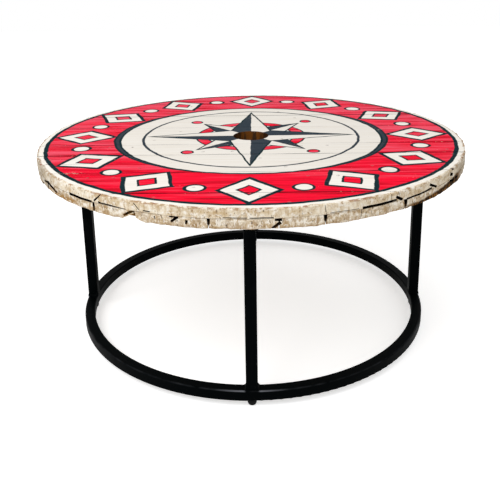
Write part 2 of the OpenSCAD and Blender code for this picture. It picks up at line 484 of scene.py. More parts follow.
def block(name, size):
    """A block of a size round the origin."""
    bpy.ops.mesh.primitive_cube_add(size=1, location=(0, 0, 0))
    bpy.context.active_object.scale = size
    return settled(name)


def squeeze_points(piece, test, factors, centre):
    """Scales the points that pass a test towards a place."""
    pick(piece, "VERT", test)
    bpy.ops.transform.resize(value=factors, center_override=centre)
    done()


def at_rim(piece, angle, z, lean=0.0):
    """Puts a finished cutter on the rim, z millimetres above the underside: X points outwards."""
    turned = radians(angle)
    piece.rotation_euler = (lean, 0, turned)
    piece.location = (rim_radius * cos(turned), rim_radius * sin(turned), ply_low + z * MM)
    return settled(piece.name)


def roughened(piece, longest, cuts, shake, seed):
    """Cuts the longest edges into pieces, shakes all points a little and makes triangles."""
    pick(piece, "EDGE", lambda middle, along: along.length > longest * 0.8)
    bpy.ops.mesh.subdivide(number_cuts=cuts)
    bpy.ops.mesh.select_all(action="SELECT")
    bpy.ops.transform.vertex_random(offset=shake, seed=seed)
    bpy.ops.mesh.quads_convert_to_tris()
    done()


def crack(name, depth, first, last, thick, taper):
    """A cleft in the rim from one place to another, each an angle and a height in millimetres."""
    across = rim_radius * radians(last[0] - first[0])
    rise = (last[1] - first[1]) * MM
    length = hypot(across, rise)
    piece = block(name, (2 * depth * MM, length, thick * MM))
    squeeze_points(piece, lambda co: co.y > 0, (1, 1, taper), (0, length / 2, 0))
    squeeze_points(piece, lambda co: co.x < 0, (1, 0.9, CRACK_POINT), (-depth * MM, 0, 0))
    shake = min(0.35 * MM, 0.2 * thick * MM * min(taper, 1) * CRACK_POINT)
    roughened(piece, max(2 * depth * MM, length), 5, shake, len(name) + int(thick * 10))
    return at_rim(piece, (first[0] + last[0]) / 2, (first[1] + last[1]) / 2, atan2(rise, across))


def front_angle(x):
    """The angle of the front rim's point at x metres from the middle."""
    return -90 + degrees(asin(x / rim_radius))


# %% List the damage of the real rim
OPENINGS = [
    ((-150.5, 12.5), (-146.4, 16.4), 3.6, 1.4), ((-146.8, 16.4), (-141.2, 7.6), 6.6, 0.9),
    ((-135.2, 19.2), (-126.4, 18.6), 5.4, 0.9), ((-124.8, 21.4), (-116.6, 20), 3.8, 0.3),
    ((-95.4, 21.4), (-90.2, 21), 1.5, 1), ((-90, 21), (-84.8, 20.6), 1.8, 1.2),
    ((-73.4, 21.2), (-66.4, 21.2), 1.1, 1), ((-66, 20.8), (-56.2, 22), 5.4, 0.9),
    ((-54, 18.4), (-44.2, 21.8), 4.2, 0.9), ((-22, 19), (-14, 18.4), 2.6, 0.8),
    ((8, 18.6), (19, 19.6), 3.2, 0.7), ((41, 20), (47, 19.4), 2, 0.9),
    ((66, 19.2), (79, 18.6), 3.6, 0.6), ((103, 18.8), (108, 19.4), 1.8, 0.9),
    ((131, 19.4), (143, 18.6), 3.4, 0.7), ((161, 18.8), (168, 19.3), 2.4, 0.8)]
UPPER_CRACKS = [
    ((-126, 21), (-123.6, 37), 4.4, 0.4), ((-114.8, 34), (-113.5, 22), 1.8, 0.8),
    ((-112.6, 22.5), (-110.9, 21.5), 2.4, 0.8), ((-74.1, 23), (-74.3, 36), 1.4, 0.6),
    ((-58.3, 35), (-58.1, 24), 1.1, 0.8), ((-56.9, 28), (-54.9, 19.5), 5, 1.3),
    ((-45.6, 30), (-42.4, 19.6), 5.6, 0.8), ((-35.8, 30), (-33.6, 24.4), 7.6, 0.8),
    ((-34.4, 35.2), (-33.2, 34.6), 3.4, 0.8), ((-8, 24), (-6.5, 33), 2.2, 0.7),
    ((27, 35), (28.4, 24), 2.4, 0.7), ((58, 23), (60, 31), 2, 0.8),
    ((88, 36), (88.3, 26), 1.6, 0.6), ((115, 22.5), (117, 33), 2.2, 0.7),
    ((149, 34), (150.6, 23), 2.6, 0.7)]
LOWER_CRACKS = [
    ((-117.6, 8), (-114.9, 20), 4.8, 1.1), ((-106.6, 18.4), (-104.5, 18.2), 4, 1),
    ((-104.7, 18.6), (-106.3, 8.5), 6.2, 0.7), ((-102.8, 14.2), (-102.9, 6.8), 5.6, 0.8),
    ((-110, 15.8), (-109.8, 10.2), 2.6, 0.8), ((-84.8, 17.6), (-83.2, 17), 6.4, 1),
    ((-83.5, 13), (-85.3, 2), 7, 0.8), ((-35.6, 15.5), (-32.4, 12), 5.2, 0.9),
    ((-31.5, 13.6), (-29.3, 11.6), 5.2, 0.8), ((12, 14), (13.6, 5), 3.2, 0.8),
    ((52, 16), (50.6, 7), 3.4, 0.8), ((84, 15), (85, 8), 2.8, 0.8),
    ((110, 16.5), (112.4, 12), 3.6, 0.9), ((137, 14), (135.8, 4), 3.6, 0.8),
    ((172, 15), (173.6, 8), 3, 0.8)]
JOINTS = [(1, 3, 20, 6.4, -0.4), (3, 8, 21, 7.4, 0),
          (5, 7.6, 21, 8, 0), (6, 5, 21.5, 12, 0.3)]
BACK_JOINTS = [(2, 5, 20, 4.6), (4, 7, 20.5, 4), (6, 4, 20, 5.2)]
LOST_CORNERS = [(2, -1, 37, 17, 24), (2, 1, 28, 9, 20)]
ROTTEN = [(-147.5, 75, -1), (-41, 160, 1), (62, 90, 1), (106, 60, -1)]
print(len(OPENINGS), "openings,", len(UPPER_CRACKS), "upper and", len(LOWER_CRACKS), "lower cracks")

# %% Cutters for corners, rot and the split
ROT_HEIGHT = 8.0
ROT_REACH = 16.0
SPLIT_WIDTH = 2.4
SPLIT_LENGTH = 105.0
SLACK = 2.0


def move_points(piece, test, way):
    """Moves the points that pass a test."""
    pick(piece, "VERT", test)
    bpy.ops.transform.translate(value=way)
    done()


def broken_corner(name, angle, side, width, height, depth):
    """A wedge under the rim, on one side of an angle: full height there and none at its far end."""
    piece = block(name, (2 * depth * MM, width * MM, (height + SLACK) * MM))
    move_points(piece, lambda co: co.y * side > 0 and co.z > 0, (0, 0, -height * MM))
    squeeze_points(piece, lambda co: co.x < 0, (1, 0.75, 0.9),
                   (0, -side * width / 2 * MM, -height / 2 * MM))
    roughened(piece, 0, 4, 0.4 * MM, 5)
    move_points(piece, lambda co: True, (0, side * width / 2 * MM, (height - SLACK) / 2 * MM))
    return at_rim(piece, angle, 0)


def rot(name, angle, length, deep_end):
    """A ragged chamfer under the rim that runs out to nothing at one end."""
    piece = block(name, (2 * ROT_REACH * MM, length * MM, 2 * ROT_HEIGHT * MM))
    for side in (-1, 1):
        move_points(piece, lambda co: co.z > 0 and co.x * side > 0, (0, 0, side * ROT_HEIGHT * MM))
    squeeze_points(piece, lambda co: co.z > -TINY and co.y * deep_end < 0, (1, 1, 0.25),
                   (0, 0, -ROT_HEIGHT * MM))
    roughened(piece, length * MM, 14, 0.8 * MM, 8)
    return at_rim(piece, angle, 0)


def drying_split(name, y):
    """A thin wedge that opens towards the left rim."""
    height = ply_high - ply_middle + SLACK * MM
    piece = block(name, ((SPLIT_LENGTH + SLACK) * MM, SPLIT_WIDTH * MM, height))
    squeeze_points(piece, lambda co: co.x > 0, (1, 0.06, 1), (0, 0, 0))
    roughened(piece, SPLIT_LENGTH * MM, 7, 0.06 * MM, 3)
    rim_x = -(rim_radius ** 2 - y ** 2) ** 0.5
    piece.location = (rim_x + (SPLIT_LENGTH - SLACK) / 2 * MM, y, (ply_middle + ply_high) / 2)
    return settled(name)


# %% Make all the cutters
OPENING_DEPTH = 10
CRACK_DEPTH = 12
JOINT_DEPTH = 15
JOINT_TAPER = 0.6
ARBOR_POINTS = 96
ARBOR_SLACK = 5 * MM
DENT_RADIUS = 3.62 * MM
DENT_DEPTH = 1.5 * MM
DENT_POINTS = 14


def joined(name, pieces):
    hold(pieces[0])
    for piece in pieces[1:]:
        piece.select_set(True)
    bpy.ops.object.join()
    pieces[0].name = name
    return pieces[0]


def joint_gap(name, place, low, high, thick):
    lower_cutters.append(crack(name, JOINT_DEPTH, (place, high), (place, low), thick, JOINT_TAPER))


joints = []
for number in range(1, 9):
    joints.append((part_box(f"lower_board_{number}")[1].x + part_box(f"lower_board_{number + 1}")[0].x) / 2)
bores = [cylinder("arbor", (0, 0), arbor_radius, ply_low - ARBOR_SLACK, ply_high + ARBOR_SLACK,
                  ARBOR_POINTS)]
for number, place in enumerate(nails):
    bores.append(cylinder(f"dent_{number}", place, DENT_RADIUS, ply_high - DENT_DEPTH,
                          ply_high + SLACK * MM, DENT_POINTS))
upper_cutters = []
lower_cutters = []
for number, row in enumerate(OPENINGS):
    for cutters in (upper_cutters, lower_cutters):
        cutters.append(crack(f"opening_{number}_{len(cutters)}", OPENING_DEPTH, *row))
for number, row in enumerate(UPPER_CRACKS):
    upper_cutters.append(crack(f"upper_crack_{number}", CRACK_DEPTH, *row))
for number, row in enumerate(LOWER_CRACKS):
    lower_cutters.append(crack(f"lower_crack_{number}", CRACK_DEPTH, *row))
for joint, low, high, thick, aside in JOINTS:
    joint_gap(f"joint_{joint}", front_angle(joints[joint]) + aside, low, high, thick)
for joint, low, high, thick in BACK_JOINTS:
    joint_gap(f"back_joint_{joint}", -front_angle(joints[joint]), low, high, thick)
for joint, side, *sizes in LOST_CORNERS:
    place = front_angle(joints[joint]) - 0.2 * side
    lower_cutters.append(broken_corner(f"lost_corner_{side}", place, side, *sizes))
for number, row in enumerate(ROTTEN):
    lower_cutters.append(rot(f"rot_{number}", *row))
split_low, split_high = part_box("upper_board_3")
upper_cutters.append(drying_split("split", (split_low.y + split_high.y) / 2))
bored = joined("bores", bores)
print(len(bores), "bores,", len(upper_cutters), "upper and", len(lower_cutters), "lower breaks")

# %% [markdown]
# A board is a copy of its layer's disc, sliced at its two seams. More slices, close to the seams
# and along the board, give points to move: the arrises are worn down, each board gets its own
# height, and Displace makes the seams and the faces a little uneven, as old sawn boards are.

# %% Tell inner faces from worn ones
RIM_SKIN = 7.0 * MM
SKIN_DEPTH = 2.6 * MM
SKIN_FACING = 0.4


def mark_inner_faces(board, layer, bottom, top):
    """Stores 1 on each face inside a seam, hole or crack, and 0 on the faces that wear shows."""
    marks = board.data.attributes.new("inner", "FLOAT", "FACE")
    values = []
    for face in board.data.polygons:
        outward = face.center.xy.normalized()
        rim = face.center.xy.length > rim_radius - RIM_SKIN and face.normal.xy.dot(outward) > SKIN_FACING
        if layer == "upper":
            open_face = face.normal.z > SKIN_FACING and face.center.z > top - SKIN_DEPTH
        else:
            open_face = face.normal.z < -SKIN_FACING and face.center.z < bottom + SKIN_DEPTH
        values.append(0.0 if rim or open_face else 1.0)
    marks.data.foreach_set("value", values)


# %% Cut one board
SLICE_PITCH = 45 * MM
ARRIS_STEPS = (0.5 * MM, 1.6 * MM)
ARRIS_DROP = 0.5 * MM
SHOULDER_DROP = 0.12 * MM
SEAM_WAVE = 0.5 * MM
FACE_WAVE = 0.4 * MM
SEAM_SQUEEZE = {"upper": 0.4 * MM, "lower": 1.3 * MM}
SURFACE_BAND = ARRIS_DROP * 1.6
FACE_BAND = 1.6 * MM
SMOOTH_ANGLE = radians(38)

seam_waves = clouds("seam_waves", 55, contrast=2.0)
face_waves = clouds("face_waves", 90, contrast=1.5)


def slice_at(piece, place, normal, keep="both"):
    """Cuts through a whole piece with a plane; keep says which side stays, along the normal."""
    hold(piece)
    bpy.ops.object.mode_set(mode="EDIT")
    bpy.ops.mesh.select_all(action="SELECT")
    bpy.ops.mesh.bisect(plane_co=place, plane_no=normal, use_fill=keep != "both",
                        clear_inner=keep == "above", clear_outer=keep == "below")
    done()


def meet(first, second):
    """Whether two pieces' boxes overlap."""
    return all(min(v.co[axis] for v in a.data.vertices) < max(v.co[axis] for v in b.data.vertices)
               for axis in range(3) for a, b in ((first, second), (second, first)))


def cut_board(disc, layer, node, across, low, high, cutters, height):
    """Makes one board: across is the direction from seam to seam, low and high are its seams."""
    along = Vector((across.y, across.x, 0))
    hold(disc)
    bpy.ops.object.duplicate()
    board = bpy.context.active_object
    board.name = f"worn_{node}"
    seams = [(place, side) for place, side in ((low, 1), (high, -1)) if place is not None]
    for place, side in seams:
        slice_at(board, across * place, across, "above" if side > 0 else "below")
    for place, side in seams:
        for step in ARRIS_STEPS:
            slice_at(board, across * (place + side * step), across)
    reach = max(abs(v.co.dot(along)) for v in board.data.vertices)
    slices = int(reach / SLICE_PITCH)
    for number in range(-slices, slices + 1):
        slice_at(board, along * number * SLICE_PITCH, along)
    bottom = min(v.co.z for v in board.data.vertices)
    top = max(v.co.z for v in board.data.vertices)
    for place, side in seams:
        for reached, drop in ((0, ARRIS_DROP), (ARRIS_STEPS[0], SHOULDER_DROP)):
            for level, way in ((top, -1), (bottom, 1)):
                move_points(board, lambda co: abs(co.dot(across) - place - side * reached) < TINY
                            and abs(co.z - level) < SURFACE_BAND, (0, 0, way * drop))
        weigh(board, f"seam_{side}", lambda co: abs(co.dot(across) - place) < TINY)
        displace(board, seam_waves, -side * SEAM_WAVE, "X" if across.x else "Y", f"seam_{side}")
    move_points(board, lambda co: co.z > (top + bottom) / 2, (0, 0, height))
    weigh(board, "face", lambda co: co.z > top - FACE_BAND)
    displace(board, face_waves, FACE_WAVE, "Z", "face")
    modify(board, "TRIANGULATE")
    for cutter in cutters:
        if meet(board, cutter):
            modify(board, "BOOLEAN", operation="DIFFERENCE", object=cutter, solver="MANIFOLD")
    hold(board)
    bpy.ops.object.shade_smooth_by_angle(angle=SMOOTH_ANGLE)
    mark_inner_faces(board, layer, bottom, top)
    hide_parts(node)
    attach(board, "root")
    return board


# %% Cut both layers into boards
BOARD_SINK = 0.5

draws = Random(11)
boards = {"upper": [], "lower": []}
top_seams = []
for layer, disc, breaks, across in (("upper", upper_disc, upper_cutters, Vector((0, 1, 0))),
                                    ("lower", lower_disc, lower_cutters, Vector((1, 0, 0)))):
    nodes = [name for name in frame["nodes"] if name.startswith(layer + "_board_")]
    nodes.sort(key=lambda name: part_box(name)[0].dot(across))
    squeeze = SEAM_SQUEEZE[layer]
    for number, node in enumerate(nodes):
        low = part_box(node)[0].dot(across) - squeeze if number > 0 else None
        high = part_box(node)[1].dot(across) + squeeze if number < len(nodes) - 1 else None
        if layer == "upper" and high is not None:
            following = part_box(nodes[number + 1])[0].dot(across) - squeeze
            top_seams.append((high + following) / 2 / MM)
        height = -draws.uniform(0, BOARD_SINK) * MM if layer == "upper" else 0
        board = cut_board(disc, layer, node, across, low, high, [bored, *breaks], height)
        boards[layer].append(board)
        print(board.name, len(board.data.polygons), "faces")
for leftover in (upper_disc, lower_disc, bored, *upper_cutters, *lower_cutters):
    bpy.data.objects.remove(leftover)

# %% [markdown]
# The painted top is one picture across all the upper boards, so it is drawn by sums on the
# distance from the axis and on the angle round it. The layout is a made-up one, with a red band
# of cream lozenges and spots and a compass rose in the middle. Folding the angle into
# equal slices lets one lozenge or one point of the rose be drawn and repeated all the way round.

# %% Colours of the paint and the wood
CREAM = paint(235, 230, 222)
CREAM_AGED = paint(221, 210, 194)
MOTIF_CREAM = paint(244, 239, 231)
RED = paint(251, 8, 50)
RED_DEEP = paint(176, 4, 26)
RED_FADED_AND_SHEEN = paint(239, 92, 114)
INK = paint(10, 40, 46)
SLATE = paint(48, 58, 67)
WHITE_RIM = paint(246, 241, 232)
WOOD_CREAM = paint(237, 225, 203)
WOOD_PALE = paint(226, 210, 184)
WOOD_TAN = paint(211, 190, 156)
WOOD_OCHRE = paint(176, 143, 98)
WOOD_BROWN = paint(132, 95, 56)
WOOD_DARK = paint(62, 42, 26)
CRACK_SHADE = paint(18, 13, 9)
TORN_WOOD = paint(158, 116, 58)
STAIN = paint(140, 78, 56)
ARBOR_BROWN = paint(112, 66, 22)
SOOT = paint(46, 31, 15)
EMBER_BROWN = paint(136, 92, 42)
SIDE_SHADE_GREY = paint(150, 140, 124)
LEFT_SHADE_BROWN = paint(122, 110, 92)
WOOD_GREY = paint(168, 152, 130)

# %% Draw the picture on the boards
BAND_IN = 298.0
BAND_OUT = 433.5
LINE_OUT = 442.5
RING_MIDDLE = 291.0
RING_OVAL = 1.055
RING_WIDTH = 12.0
RING_SWELL = 5.0
RING_EDGE = 5.0
MOTIFS = 12
LOZENGE_HALF_WIDTH = 50.0
LOZENGE_HALF_HEIGHT = 59.0
OUTLINE = 8.5
SPOT_RADIUS = 15.0
ROSE_LONG = 214.0
ROSE_SHORT = 150.0
ROSE_WAIST = 60.0
ROSE_OUTLINE = 4.0
HOOP = (98.0, 118.0)
SCALE_RING = (232.0, 238.0)
DOTS_OUT = 182.0
DOT_OUTLINE = 14.0
DOT_RADIUS = 10.0
HEART_OUTLINE = 20.0
HEART_EDGE = 24.5
BRUSH_SWAY = 7.0


def span(across, up):
    """The distance between two points that lie so far apart in two directions."""
    return (across * across + up * up) ** 0.5


def picture(finish):
    """The painted picture's colour, from Object coordinates, and the distance from its middle."""
    sway = finish.noise(30, shift=40) - 0.5
    feather = finish.noise((14, 2.2, 2.2), shift=90) - 0.5
    x = finish.x + sway * 5 + feather * 2.4
    y = finish.y + (finish.noise(34, shift=160) - 0.5) * 5
    radius = span(x, y)
    turn = y.math("ARCTAN2", y, x) / (2 * pi)

    def slice_of(count, shift):
        """How far round its slice a point is, as sideways and outward distances."""
        part = turn.math("FLOORED_MODULO", turn * count + shift, 1.0) - 0.5
        angle = part * (2 * pi / count)
        return radius * angle.math("SINE", angle), radius * angle.math("COSINE", angle)

    colour = finish.layers(
        CREAM,
        (radius.inside(*SCALE_RING), SLATE),
        (radius.inside(HOOP[0] - ROSE_OUTLINE, HOOP[1] + ROSE_OUTLINE), INK),
        (radius.inside(*HOOP), RED))
    waist = ROSE_WAIST * cos(pi / 4)
    for shift, tip in ((0.0, ROSE_SHORT), (0.5, ROSE_LONG)):
        sideways, outward = slice_of(4, shift)
        slope = hypot(waist, tip - waist)
        outside = (outward - tip) * (waist / slope) + abs(sideways) * ((tip - waist) / slope)
        lit = finish.mix(sideways.past(0), CREAM, SLATE)
        colour = finish.layers(colour, (outside.below(ROSE_OUTLINE), INK), (outside.below(0), lit))
    sideways, outward = slice_of(4, 0.0)
    dot = span(sideways, outward - DOTS_OUT)
    colour = finish.layers(colour, (dot.below(DOT_OUTLINE), INK), (dot.below(DOT_RADIUS), RED))

    wave = turn * (4 * pi)
    swell = wave.math("COSINE", wave) * (RING_SWELL / 2)
    oval = (x * x + y * y * (RING_OVAL * RING_OVAL)) ** 0.5
    from_ring = abs(oval - RING_MIDDLE) - swell
    middle = (BAND_IN + BAND_OUT) / 2
    sideways, outward = slice_of(MOTIFS, 0.5)
    lozenge = abs(sideways) / LOZENGE_HALF_WIDTH + abs(outward - middle) / LOZENGE_HALF_HEIGHT - 1
    lozenge = lozenge * (1 / hypot(1 / LOZENGE_HALF_WIDTH, 1 / LOZENGE_HALF_HEIGHT))
    sideways, outward = slice_of(MOTIFS, 0.0)
    spot = span(sideways, outward - middle)
    brush = (finish.noise(42, detail=1, shift=260) - 0.5) * BRUSH_SWAY
    colour = finish.layers(
        colour,
        (oval.past(RING_MIDDLE), RED),
        ((lozenge + brush).below(OUTLINE), INK),
        (lozenge.below(0), MOTIF_CREAM),
        (lozenge.below(-HEART_OUTLINE), INK),
        (lozenge.below(-HEART_EDGE), RED),
        ((spot + brush * 0.6).below(SPOT_RADIUS + OUTLINE * 0.7), INK),
        (spot.below(SPOT_RADIUS), MOTIF_CREAM),
        (from_ring.below(RING_WIDTH / 2), INK),
        (from_ring.below(RING_WIDTH / 2 - RING_EDGE, 1.5), SLATE),
        ((radius + brush * 0.5).past(BAND_OUT), INK),
        (radius.past(LINE_OUT), WHITE_RIM))
    return colour, radius


# %% [markdown]
# New paint is never what a reel flange shows. The boards carry long streaks along the grain, each
# board has weathered by its own amount, the seams hold dirt, and small flakes have come away down
# to the wood. The red grows paler and pinker towards the back and the far sides: partly faded paint,
# partly a painted sheen. Each of these is a mask between 0 and 1, and the masks mix the picture's
# colours.

# %% Weather the painted top
SEAM_DIRT = 1.6
BOARD_FADING = (-0.1, -0.06, 0.1, 0.26, 0.2, 0.16, 0.24, 0.26)


def nearest(value, places):
    """Distance to the nearest of several lines."""
    distance = abs(value - places[0])
    for place in places[1:]:
        distance = distance.low(abs(value - place))
    return distance


def steps(value, places, levels):
    """A level for each board: it changes where the value passes a seam."""
    total = levels[0]
    for place, before, after in zip(places, levels, levels[1:]):
        total = total + value.past(place, 0.4) * (after - before)
    return total


def weathered_top(finish):
    """The picture with its wear and a painted sheen, the height that goes with it, and the distance from
    the middle.
    """
    colour, radius = picture(finish)
    streaks = finish.noise((240, 9, 9), detail=3, roughness=0.6, shift=11)
    fine = finish.noise((90, 2.4, 2.4), detail=3, roughness=0.65, shift=23)
    bands = finish.noise((170, 17, 17), roughness=0.6, shift=311)
    patchy = finish.noise((230, 60, 60), detail=3, shift=67)
    boards_wear = steps(finish.y, top_seams, BOARD_FADING)
    # Paler and pinker towards the back and the far sides: partly faded paint, partly a painted sheen.
    side_fading_and_sheen = abs(finish.x).past(300, 240) * 0.22
    fading_and_sheen = (patchy - 0.5) * 1.5 + (finish.y / 1200 + 0.2) + boards_wear + side_fading_and_sheen
    fading_and_sheen = fading_and_sheen + (streaks - 0.5) * 2 + (bands - 0.5) * 2.8
    deep = streaks.below(0.42, 0.1) * 0.5 + fine.below(0.4, 0.08) * 0.4 + bands.below(0.41, 0.06) * 0.5
    red, green = (finish.add("ShaderNodeSeparateColor", {}, {0: colour}, name) for name in ("Red", "Green"))
    redness = (red - green).past(0.35, 0.4)
    darkness = finish.add("ShaderNodeSeparateColor", {"mode": "HSV"}, {0: colour}, 2).below(0.3, 0.2)
    pale = (1 - redness) * (1 - darkness)
    colour = finish.layers(
        colour,
        (redness * (fading_and_sheen + (fine - 0.5) * 1.7).clamped() * 0.85, RED_FADED_AND_SHEEN),
        (deep.clamped() * redness, RED_DEEP),
        (pale * (streaks * 0.5 + fine * 0.5).past(0.56, 0.2) * 0.5, CREAM_AGED),
        (darkness * fine.past(0.72, 0.1) * 0.35, CREAM_AGED))
    seam = nearest(finish.y + (fine - 0.5) * 3, top_seams)
    broken = finish.noise((46, 30, 30), shift=5).past(0.5, 0.24)
    dirt = (seam - redness * 1.2).below(SEAM_DIRT, 2)
    dirt = dirt * (broken * 0.7 + 0.1 + redness * 0.3) * (1 - pale * 0.6)
    flakes = finish.noise((9, 2.4, 2.4), detail=3, roughness=0.65, shift=200)
    sparse = finish.noise((90, 30, 30), shift=300)
    bare = (flakes + (sparse - 0.5) * 0.5 + seam.below(7, 8) * 0.07).past(0.77, 0.03)
    specks = finish.noise(3.2, detail=1, shift=500)
    colour = finish.layers(
        colour,
        (dirt, finish.shade(colour, 0.3)),
        (bare * 0.8, WOOD_PALE),
        (specks.past(0.79, 0.04) * 0.6, WOOD_BROWN))
    return colour, streaks * 0.4 + fine * 0.3 - bare * 0.3 - dirt * 0.4, radius


# %% [markdown]
# The rim shows the boards' sawn ends and sides under old, mostly lost whitewash: cream wood with
# soft tan patches, a little upright grain, white remains and brown specks. The far left and right
# ends are painted greyer and darker as painted shade, the far left in patches. Reddish stains follow
# the top edge, and the wood low on the right is scorched. The layers meet in a fine line. Inside
# cracks, seams and holes the faces are painted nearly black as painted shade, and a broken corner
# is golden.

# %% Finish the rim
ROT_TURNS = (-146.0, -131.0)
SCORCH_TURNS = (-53.5, -27.0)


def rim_wood(finish):
    """Colour and height of the weathered rim, with painted shade at its far ends."""
    low, middle, high = (z / MM for z in (ply_low, ply_middle, ply_high))
    patches = finish.noise((26, 26, 14), detail=3, roughness=0.6, shift=77)
    mottle = finish.noise((9, 9, 7), detail=3, roughness=0.6, shift=53)
    upright = finish.noise((4.5, 4.5, 16), detail=3, roughness=0.6, shift=31)
    flecks = finish.noise((3.2, 3.2, 4.2), roughness=0.6, shift=131)
    checks = finish.noise((2.6, 2.6, 9), roughness=0.6, shift=151)
    stains = finish.noise((13, 13, 6), detail=3, roughness=0.7, shift=411)
    stained = finish.noise(70, detail=1, shift=431)
    open_joint = finish.noise((30, 30, 90), shift=17).past(0.52, 0.14)
    under = finish.z.below(middle)
    # Painted shade: the far left and right ends are mixed greyer and darker, the far left darker again in
    # patches, more on the lower layer.
    side_shade = finish.x.below(-365, 70) + finish.x.past(372, 60)
    left_shade = finish.x.below(-385, 50) * (upright * 0.5 + mottle * 0.5).past(0.5, 0.12)
    top_edge = finish.z.past(high - 3.5, 2.5)
    stain = (stains + (stained - 0.5) * 0.5).past(0.55 - finish.x.past(120, 160) * 0.04, 0.07)
    joint = abs(finish.z - middle + (mottle - 0.5) * 2).below(0.7, 0.8)
    turn = finish.y.math("ARCTAN2", finish.y, finish.x) * (180 / pi)
    rotten = turn.inside(*ROT_TURNS, 4)
    bitten = finish.z.below(low + 5 + rotten * 6, 6) * stains.past(0.46, 0.14)
    above_fire = finish.z - turn.past(-41, 20) * 13 + (mottle - 0.5) * 8
    scorch = turn.inside(*SCORCH_TURNS, 5) * above_fire.below(low + 6, 3)
    colour = finish.layers(
        WOOD_CREAM,
        (patches.past(0.5, 0.22), WOOD_TAN),
        (upright.past(0.57, 0.16) * 0.55, WOOD_OCHRE),
        (mottle.past(0.62, 0.12) * 0.4, WOOD_OCHRE),
        (mottle.below(0.425, 0.09) * 0.6, WHITE_RIM),
        ((flecks + (patches - 0.5) * 0.4).past(0.665, 0.05) * 0.8, WOOD_BROWN),
        (under * mottle.past(0.5, 0.14) * 0.35, WOOD_BROWN),
        ((checks + under * 0.035).past(0.685, 0.03) * 0.8, WOOD_DARK),
        ((checks - under * 0.03).below(0.34, 0.03) * 0.75, WHITE_RIM),
        (side_shade * (0.25 + patches.past(0.5, 0.2) * 0.35), SIDE_SHADE_GREY),
        (left_shade * (0.29 + under * 0.3), LEFT_SHADE_BROWN),
        (top_edge * stain * 0.75, finish.mix(flecks.past(0.5, 0.2), STAIN, WOOD_OCHRE)),
        (top_edge * stains.below(0.42, 0.08) * 0.6, WHITE_RIM),
        (joint * open_joint * 0.55, WOOD_BROWN),
        (bitten * (0.45 + rotten * 0.5), TORN_WOOD),
        (scorch, finish.mix((upright * 0.5 + stains * 0.5).past(0.52, 0.08) * 0.85, SOOT, EMBER_BROWN)))
    return colour, upright * 0.5 + mottle * 0.5 + flecks * 0.3

# %% Finish the bare wood
def bare_wood(finish, along):
    """Old unpainted boards, with their grain along X or Y."""
    def grown(length, width):
        return (length, width, width) if along == "X" else (width, length, width)

    grain = finish.noise(grown(210, 5.5), detail=3, roughness=0.6, shift=61)
    lines = finish.noise(grown(60, 1.3), roughness=0.6, shift=83)
    patches = finish.noise(grown(260, 40), detail=3, shift=97)
    colour = finish.layers(
        WOOD_TAN,
        (grain.past(0.5, 0.4), WOOD_BROWN),
        (patches.past(0.5, 0.4) * 0.6, WOOD_GREY),
        (lines.past(0.6, 0.12) * 0.6, WOOD_DARK))
    return colour, grain * 0.6 + lines * 0.5

# %% Finish the boards
RIM_DEPTH = 6.5
TORN_FROM = -232.0
TORN_TO = -188.0


def board_finish(name, along, painted):
    finish = Finish(name)
    edge = rim_radius / MM
    low, high = ply_low / MM, ply_high / MM
    radius = span(finish.x, finish.y)
    rim, rim_height = rim_wood(finish)
    wood, wood_height = bare_wood(finish, along)
    on_rim = (radius + (finish.noise(6, shift=15) - 0.5) * 2).past(edge - RIM_DEPTH, 2)
    colour = finish.mix(on_rim, wood, rim)
    height = wood_height + (rim_height - wood_height) * on_rim
    if painted:
        top, top_height, top_radius = weathered_top(finish)
        ragged = (finish.noise(7, detail=3, shift=700) - 0.5) * 5
        on_top = finish.z.past(high - 1.6, 0.5) * (top_radius + ragged).below(edge - 5, 2)
        colour = finish.mix(on_top, colour, top)
        height = height + (top_height - height) * on_top
    inner = finish.add("ShaderNodeAttribute", {"attribute_name": "inner"}, {}, "Fac")
    torn = finish.noise((5, 5, 12), detail=3, roughness=0.65, shift=611)
    golden = finish.x.inside(TORN_FROM, TORN_TO, 6) * finish.y.below(-370, 10) * torn.below(0.62, 0.1)
    # Inner faces of seams, cracks and holes: painted shade, nearly black, dark brown far in from the rim
    # and half brown low down; the broken corner's torn wood keeps its own golden colour.
    deep = finish.layers(
        CRACK_SHADE,
        (golden * finish.z.below(low + 14, 5), TORN_WOOD),
        (finish.z.below(low + 8.5, 1.5) * (1 - golden) * 0.5, WOOD_BROWN),
        ((edge - radius).past(60, 40) * 0.6, WOOD_DARK))
    # Near the top the upper boards' seam walls take the picture's paint darkened to about a fifth: paint
    # run into the seam, darkened as painted shade.
    if painted:
        lip = finish.z.past(high - 4, 3) * radius.below(LINE_OUT, 2)
        deep = finish.mix(lip, deep, finish.shade(top, 0.22))
    # The arbor wall is brown with darker grain, and painted near black towards its left and right ends as
    # painted shade in the hole.
    walls = finish.noise((9, 9, 40), detail=3, shift=801)
    wall_colour = finish.layers(
        ARBOR_BROWN,
        (walls.past(0.52, 0.14), WOOD_DARK),
        (abs(finish.x).past(24, 18) * 0.8, CRACK_SHADE))
    arbor_wall = radius.below(arbor_radius / MM + 1, 0.6)
    colour = finish.layers(colour, (inner, deep), (arbor_wall * 0.95, wall_colour))
    return finish.surface(colour, 0.7, height, 0.3, gloss=0.02)


def dress(piece, finish):
    piece.data.materials.clear()
    piece.data.materials.append(finish)


for layer, along, slot in (("upper", "X", "painted_boards"), ("lower", "Y", "bare_boards")):
    finish = board_finish(f"{slot}_worn", along, painted=layer == "upper")
    for board in boards[layer]:
        dress(board, finish)

# %% [markdown]
# Each leg is welded to both rings. A weld leaves a small sloping bead at the tube's two sides and
# a thinner one, ground back, on its faces. One bead is a block whose top is drawn in to the tube,
# whose corners are rounded and which Displace makes a little lumpy. It is copied to every joint.

